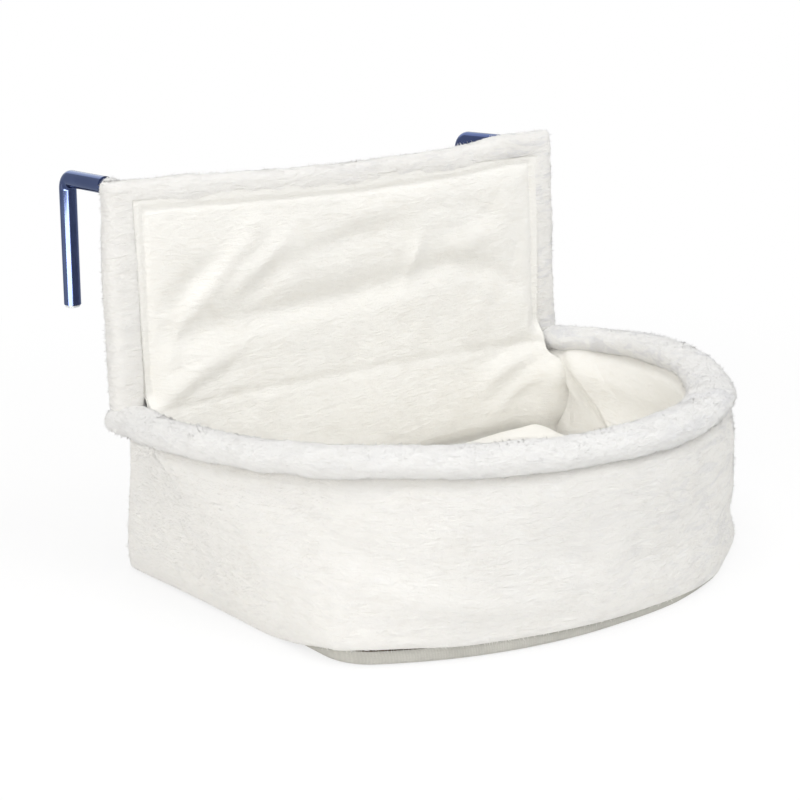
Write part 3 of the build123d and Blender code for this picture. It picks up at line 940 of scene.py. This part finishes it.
def makePanel(v):
    down = np.linspace(v["top"], v["foot"], v["rows"])
    share, z = np.meshgrid(np.linspace(0, 1, v["columns"]), down)
    # under the rim the panel runs on into the tub's right rear corner
    right = v["right"] + v["intoCorner"] * (1 - smoothStep(z, 88, 106))
    x, z = blend((v["left"], right), share).ravel(), z.ravel()
    spot = np.stack([x, z], 1)
    ahead = addFolds(np.interp(z, *v["profile"]), spot, v["folds"], 0.06, 0.6)
    depth, width = v["creaseSize"]
    ahead = ahead - depth * np.exp(-((lineDistance(spot, v["crease"])[0] / width) ** 2))
    ahead = ahead + lumps(np.stack([x, 0 * x, z], 1), v)
    # the lower ends come forward to meet the lining
    lowLeft, lowRight = v["lowerEnds"]
    ends = lowRight * smoothStep(x, 150, 192) + lowLeft * smoothStep(-x, 150, 186)
    ahead = ahead + (1 - smoothStep(z, 78, 112)) * ends
    # sewn to the border
    seamLeft, seamRight, seamTop = (np.array(line).T for line in v["seam"])
    inside = np.minimum(x - np.interp(z, *seamLeft), np.interp(z, *seamRight) - x)
    inside = np.minimum(inside, np.interp(x, *seamTop) - z)
    upper = smoothStep(z, 112, 130)
    sewn = (1 - smoothStep(inside, *v["sewnBand"])) * upper
    ahead = ahead * (1 - sewn) + v["sewnDepth"] * sewn
    depth, width, within = v["stitch"]
    ahead = ahead - depth * upper * np.exp(-(((inside - within) / width) ** 2))
    ahead = np.maximum(ahead, v["least"][0])
    behind = np.minimum(np.interp(z, *v["behind"]), ahead - v["least"][1])
    front, rear = (np.stack([x, -y, z], 1) for y in (ahead, behind))
    piece = makeSkin("backPanel", front, rear, v["columns"], False, cream)
    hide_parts("back_front_cloth", "back_wadding")
    return piece


backPanel = makePanel(panelValues)

sleeveValues = {
    "half": 176.0,
    "radius": 10.6,
    "height": 112.0,
    "along": 200,
    "around": 44,
    "roundEnd": 3.0,
    "lumps": [(30, 0.4), (12, 0.3), (5, 0.2)],
    "seed": 151,
}


def makeCrossbarSleeve(v):
    count = v["along"]
    half, height, radius = (v[key] for key in ("half", "height", "radius"))
    centres = np.linspace([-half, 0, height], [half, 0, height], count)
    across, up = (np.tile(way, (count, 1)) for way in ([0, 1.0, 0], [0, 0, 1.0]))
    piece = makeRoll("crossbarSleeve", centres, across, up, radius, radius, v, cream)
    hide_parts("crossbar_sleeve")


makeCrossbarSleeve(sleeveValues)

rearClothValues = {
    "left": -187.5,
    "right": 183.0,
    "foot": 119.0,
    "top": 262.0,
    "depth": (5.0, 6.4),  # of its front and rear face
    "columns": 150,
    "rows": 70,
    "lumps": [(60, 0.9), (26, 0.5), (11, 0.2)],
    "seed": 171,
    # slack shows as shallow drags from the upper corners, by distance from the middle and height
    "drag": [(170, 250), (100, 205), (40, 180)],
    "dragSize": (12, 0.9),  # width and height
}


def makeRearCloth(v):
    across = np.linspace(v["left"], v["right"], v["columns"])
    up = np.linspace(v["foot"], v["top"], v["rows"])
    x, z = (values.ravel() for values in np.meshgrid(across, up))
    wave = lumps(np.stack([x, 0 * x, z], 1), v)
    drags = [([(sign * a, b) for a, b in v["drag"]], *v["dragSize"]) for sign in (-1, 1)]
    wave = addFolds(wave, np.stack([x, z], 1), drags, 0.05)
    fromSides = np.minimum(x - v["left"], v["right"] - x)
    wave = wave * smoothStep(np.minimum(fromSides, v["top"] - z), 0, 20)
    front, rear = (np.stack([x, y + wave, z], 1) for y in v["depth"])
    piece = makeSkin("backRearCloth", front, rear, v["columns"], False, rearWoven)
    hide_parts("back_rear_cloth")


makeRearCloth(rearClothValues)
print("backrest made")


# floor: a woven base cover and a soft pad
baseValues = {
    "inset": 0.8,
    "cloth": 1.5,
    # how far in from the edge each ring lies, and its height
    "rings": [
        (60, 0.0), (30, 0.0), (12, 0.0), (5, 0.0), (1.8, 0.15),
        (0.6, 0.6), (0.1, 1.6), (0, 3.4), (0.6, 6.0), (1.8, 8.6),
    ],
    # the underside's inner rings, as shares of the first
    "middle": (0.004, 0.15, 0.3, 0.45, 0.6, 0.75, 0.88),
    "leastCorner": 4,
    # by angle round the tub: how far the edge stands out
    "angles": [0, 40, 56, 74, 92, 158, 175, 360],
    "out": [-3, -3, 2.8, 3, 0, 0, -3, -3],
    "lumps": [(40, 0.5), (16, 0.3)],
    "seed": 191,
}


def makeBaseCover(v):
    rows = []
    for inset, z in v["rings"]:
        outline = closeRear(footOutline(v["inset"] + inset, v["leastCorner"]))
        out = np.interp(aroundTub(outline), v["angles"], v["out"])
        outline = outline + unit(outline - tubMiddle) * out[:, None]
        rows.append(np.column_stack([outline, np.full(len(outline), z)]))
    middle = np.array([*tubMiddle, 0])
    inner = [middle + (rows[0] - middle) * share for share in v["middle"]]
    grid = np.array(inner + rows)
    flat, push = gridNormals(grid, True)
    push *= -np.sign(push[:, 2].mean())
    ripple = lumps(flat, v) * smoothStep(flat[:, 2], 0.5, 4)
    outer, inside = flat + push * ripple[:, None], flat - push * v["cloth"]
    piece = makeSkin("baseCover", outer, inside, grid.shape[1], True, baseWoven)
    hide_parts("base_cover")


makeBaseCover(baseValues)

padValues = {
    "weld": 0.05,
    "voxel": 4.0,
    "pressure": 4.0,
    "frames": 20,
    "most": 4.0,  # how far the pressure may move the cloth
    "board": 5.8,
    "crown": 50.5,
    "rise": -4.0,
    "rearmost": -6.5,
    "lumps": [(70, 1.8), (34, 0.9), (16, 0.4)],
    "seed": 211,
    # by x and y
    "creases": [
        ([(190, -96), (150, -60), (96, -30)], 8, -2.0),
        ([(60, -18), (120, -24), (176, -40)], 7, 1.8),
    ],
}


def meshPoints(mesh, what="co"):
    values = np.empty(len(mesh.vertices) * 3)
    mesh.vertices.foreach_get(what, values)
    return values.reshape(-1, 3)


def makePad(v):
    pad = addObject("floorPad", nodes["floor_pad"].data.copy())
    pad.data.materials.clear()
    pad.data.materials.append(cream)
    bpy.ops.object.select_all(action="DESELECT")
    pad.select_set(True)
    bpy.context.view_layer.objects.active = pad
    bpy.ops.object.mode_set(mode="EDIT")
    bpy.ops.mesh.select_all(action="SELECT")
    bpy.ops.mesh.remove_doubles(threshold=v["weld"] * mm)
    bpy.ops.object.mode_set(mode="OBJECT")
    remesh = pad.modifiers.new("remesh", "REMESH")
    remesh.mode = "VOXEL"
    remesh.voxel_size = v["voxel"] * mm
    bpy.ops.object.modifier_apply(modifier="remesh")
    start = meshPoints(pad.data)
    cloth = pad.modifiers.new("cloth", "CLOTH")
    cloth.settings.use_pressure = True
    cloth.settings.uniform_pressure_force = v["pressure"]
    cloth.settings.effector_weights.gravity = 0
    cloth.settings.quality = 5
    scene = bpy.context.scene
    cloth.point_cache.frame_start = 1
    cloth.point_cache.frame_end = v["frames"]
    for number in range(1, v["frames"] + 1):
        scene.frame_set(number)
    bpy.ops.object.modifier_apply(modifier="cloth")
    scene.frame_set(1)
    step = meshPoints(pad.data) - start
    length = np.linalg.norm(step, axis=1, keepdims=True)
    moved = start + step * np.minimum(1, v["most"] * mm / np.maximum(length, 1e-9))
    moved /= mm
    # it lies flat on its board, and its top has shallow creases
    top = smoothStep(moved[:, 2], 20, 40)
    moved[:, 2] += top * (v["rise"] + lumps(moved * [1, 1, 0], v))
    moved[:, 2] = addFolds(moved[:, 2], moved[:, :2], v["creases"], 0.05, weight=top)
    moved[:, 2] = np.clip(moved[:, 2], v["board"], v["crown"])
    moved[:, 1] = np.minimum(moved[:, 1], v["rearmost"])
    pad.data.vertices.foreach_set("co", (moved * mm).ravel())
    smooth = pad.modifiers.new("finer", "SUBSURF")
    smooth.levels = smooth.render_levels = 1
    bpy.ops.object.modifier_apply(modifier="finer")
    pad.data.polygons.foreach_set("use_smooth", [True] * len(pad.data.polygons))
    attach(pad, "frame")
    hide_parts("floor_pad")


makePad(padValues)
print("floor made")


# pile: short closed tufts rooted in the plush pieces
pileValues = {
    "length": 2.8,
    "root": 0.3,
    "raised": (0.2, 0.12),  # the share of tufts that stand out, at the left and right
    # for those and for the rest: 0 stands straight up, 1 lies along the cloth
    "lay": (0.45, 0.88),
    "layLimits": (0.2, 0.93),
    "swirls": (26, 9, 0.6),  # their sizes, and the share of the smaller ones
    "scatter": 0.3,
    "droop": 0.5,
    "lengths": (0.5, 1.25),
    "widths": (0.7, 1.3),
    "skyward": 0.45,
    "ownShade": 0.35,
    "sunk": 0.35,
    "wallFrom": 6.0,  # the height at which the wall's tufts start
    "panelFacing": -0.3,
    "naps": 0.5,  # length of the smooth pieces' nap, as a share of the plush's
    "tuftMap": [(0.08, 0.08), (0.92, 0.08), (0.5, 0.35), (0.5, 0.92)],
    "rimRoll": 34000,
    "backBorder": 30000,
    "tubOuterWall": 42000,
    "leftCuff": 1500,
    "rightCuff": 1500,
    "backPanel": 26000,
    "tubLining": 20000,
}


# keep tells which faces hold tufts, by their middles and the ways that they face
def makePile(source, name, seed, keep=None, scale=1.0):
    v = pileValues
    count = v[source.name]
    mesh = source.data
    mesh.calc_loop_triangles()
    verts, normals = meshPoints(mesh) / mm, meshPoints(mesh, "normal")
    tris = np.empty(len(mesh.loop_triangles) * 3, np.int32)
    mesh.loop_triangles.foreach_get("vertices", tris)
    tris = tris.reshape(-1, 3)
    a, b, c = (verts[tris[:, n]] for n in range(3))
    area = np.linalg.norm(np.cross(b - a, c - a), axis=1)
    if keep is not None:
        facing = (normals[tris[:, 0]] + normals[tris[:, 1]] + normals[tris[:, 2]]) / 3
        area = area * keep((a + b + c) / 3, facing)
    random = np.random.default_rng(seed)
    pick = random.choice(len(tris), size=count, p=area / area.sum())
    u, w = random.random(count), random.random(count)
    over = u + w > 1
    u[over], w[over] = 1 - u[over], 1 - w[over]
    root = a[pick] + (b - a)[pick] * u[:, None] + (c - a)[pick] * w[:, None]
    out = normals[tris[pick, 0]] * (1 - u - w)[:, None] + normals[tris[pick, 1]] * u[:, None]
    out = unit(out + normals[tris[pick, 2]] * w[:, None])
    # the nap lies down the cloth and swirls in patches
    large, small, share = v["swirls"]
    flow = np.stack([
        softNoise(root, large, seed + n) + share * softNoise(root, small, seed + 7 + n)
        for n in range(3)
    ], 1)
    flow += random.normal(0, v["scatter"], (count, 3)) + [0, 0, -v["droop"]]
    flow = unit(flow - out * np.sum(flow * out, 1, keepdims=True))
    raised = blend(v["raised"], smoothStep(root[:, 0], -60, 130))
    lay = np.where(random.random(count) < raised, *v["lay"])
    lay = lay + 0.12 * softNoise(root, 20, seed + 20) + random.normal(0, 0.05, count)
    lay = np.clip(lay, *v["layLimits"])[:, None]
    way = unit(out * (1 - lay) + flow * lay)
    tip = root + way * (scale * v["length"] * random.uniform(*v["lengths"], count)[:, None])
    side = unit(np.cross(way, out))
    width = v["root"] * random.uniform(*v["widths"], count)[:, None]
    sunk = root - out * v["sunk"]
    points = [sunk + side * width, sunk - side * width, sunk + out * width * 1.1, tip]
    points = np.stack(points, 1).reshape(-1, 3)
    base = np.arange(count)[:, None] * 4
    faces = np.vstack([base + [0, 2, 1], base + [0, 1, 3], base + [1, 2, 3], base + [2, 0, 3]])
    # a tuft whose faces look inwards is turned round
    start, after = (points[base[:, 0] + n] for n in (0, 1))
    middle = points.reshape(-1, 4, 3).mean(1)
    inwards = np.sum(np.cross(after - start, tip - start) * (start - middle), 1) < 0
    turned = np.tile(inwards, 4)
    faces[turned] = faces[turned][:, ::-1]
    piece = makePiece(name, points, faces.tolist(), mesh.materials[0])
    piece.visible_shadow = piece.visible_diffuse = False
    # each tuft takes the light as the cloth under it does
    soft = np.repeat(out, 4, axis=0) + [0, 0, v["skyward"]]
    soft[3::4] += way * v["ownShade"]
    piece.data.normals_split_custom_set_from_vertices(unit(soft).tolist())
    # each tuft has its own cell in the piece's map
    perSide = math.ceil(math.sqrt(count))
    cell = np.stack([np.arange(count) % perSide, np.arange(count) // perSide], 1)
    spots = (cell[:, None] + np.array(v["tuftMap"])) / perSide
    tuftMap = piece.data.uv_layers.new(name="OFBake")
    corners = np.empty(len(piece.data.loops), np.int32)
    piece.data.loops.foreach_get("vertex_index", corners)
    tuftMap.data.foreach_set("uv", spots.reshape(-1, 2)[corners].ravel())


# above zero where a face looks away from the tub's middle
def lookingOut(middle, facing):
    return np.sum(facing[:, :2] * (middle[:, :2] - tubMiddle), 1)


def onWall(middle, facing):
    return (lookingOut(middle, facing) > 0) * (middle[:, 2] > pileValues["wallFrom"])


def onLining(middle, facing):
    return lookingOut(middle, facing) < 0


def onPanel(middle, facing):
    return facing[:, 1] < pileValues["panelFacing"]


makePile(rimRoll, "rimPile", 301)
makePile(backBorder, "borderPile", 302)
makePile(tubOuterWall, "wallPile", 303, onWall)
makePile(leftCuff, "leftCuffPile", 304)
makePile(rightCuff, "rightCuffPile", 305)
makePile(backPanel, "panelNap", 306, onPanel, pileValues["naps"])
makePile(tubLining, "liningNap", 307, onLining, pileValues["naps"])
print("pile made")


# floor, lamps and sky
stageValues = {
    "floor": (0.93, 0.93, 0.93),
    "floorSize": 12.0,
    "floorHeight": -0.0005,
    "shadowShare": 0.24,
    "shadowReach": (0.35, 0.9),
    "sky": 0.56,
    "lamps": [
        # name, place, aim, size, watts, colour
        ("keyLamp", (0.55, -1.25, 1.5), (0, -0.12, 0.1), (1.1, 0.9), 7.9, (0.985, 0.993, 1)),
        ("fillLamp", (-1.5, -0.8, 0.9), (0, -0.1, 0.12), (1.2, 1.2), 8.4, (1.0, 0.98, 0.945)),
        ("topLamp", (-0.2, -0.5, 1.9), (0, -0.05, 0.1), (1.3, 1.0), 9.7, (1.0, 1.0, 1.0)),
        ("rearLamp", (0.4, 1.5, 1.1), (0, 0, 0.15), (1.4, 1.0), 6.0, (1.0, 1.0, 1.0)),
    ],
    # cards that only show in metal: the stripe down the hooks, and a sheen at each side of it
    "cards": [
        ("stripeCard", (-0.55, -0.17, 0.06), (-0.187, 0.1, 0.22), (0.52, 0.14), 4.6, (1, 0.93, 0.75)),
        ("rightCard", (0.12, -0.5, 0.05), (-0.187, 0.1, 0.2), (1.0, 0.16), 1.9, (1.0, 0.95, 0.65)),
        ("leftCard", (-0.8, 0.3, 0.06), (-0.187, 0.1, 0.2), (0.8, 0.16), 0.35, (1.0, 0.95, 0.65)),
    ],
}


# 1 for rays from the camera, off metal or through glass
def seenDirectly(tree):
    path = addNode(tree, "LightPath").outputs
    cameraOrMetal = calculate(tree, "MAXIMUM", path["Is Camera Ray"], path["Is Glossy Ray"])
    return calculate(tree, "MAXIMUM", cameraOrMetal, path["Is Transmission Ray"])


def makeStage(v):
    bpy.ops.object.select_all(action="DESELECT")
    bpy.ops.mesh.primitive_plane_add(size=v["floorSize"], location=(0, 0, v["floorHeight"]))
    ground = bpy.context.active_object
    ground.name = "studioFloor"
    bpy.ops.object.transform_apply(location=True, rotation=True, scale=True)
    paper = Finish("floorPaper", Base_Color=(*v["floor"], 1), Roughness=0.9, Specular_IOR_Level=0.1)
    tree = paper.tree
    glow = addNode(tree, "Emission", Color=(1, 1, 1, 1), Strength=1.0)
    reach = addNode(tree, "VectorMath", paper.place, operation="LENGTH").outputs["Value"]
    white = rangeFrom(tree, reach, *v["shadowReach"], 1 - v["shadowShare"], 1.0)
    share = calculate(tree, "MULTIPLY", seenDirectly(tree), white)
    mix = addNode(tree, "MixShader", share, paper.shader.outputs["BSDF"], glow.outputs["Emission"])
    feed(tree, tree.nodes["Material Output"].inputs["Surface"], mix.outputs["Shader"])
    ground.data.materials.append(paper.material)

    for name, place, aim, size, watts, colour in v["lamps"] + v["cards"]:
        lamp = bpy.data.lights.new(name, "AREA")
        lamp.shape = "RECTANGLE"
        lamp.size, lamp.size_y = size
        lamp.energy = watts
        lamp.color = colour
        holder = addObject(name, lamp)
        holder.location = place
        towards = np.array(aim) - np.array(place)
        holder.rotation_euler = Vector(towards.tolist()).to_track_quat("-Z", "Y").to_euler()
        if name.endswith("Card"):
            holder.visible_diffuse = holder.visible_camera = False

    world = bpy.data.worlds.new("studioSky")
    bpy.context.scene.world = world
    world.use_nodes = True
    tree = world.node_tree
    background = tree.nodes["Background"]
    background.inputs["Color"].default_value = (1, 1, 1, 1)
    strength = rangeFrom(tree, seenDirectly(tree), 0, 1, v["sky"], 1.0, "LINEAR")
    feed(tree, background.inputs["Strength"], strength)
    bpy.context.scene.view_settings.view_transform = "Standard"


makeStage(stageValues)
print("stage made")
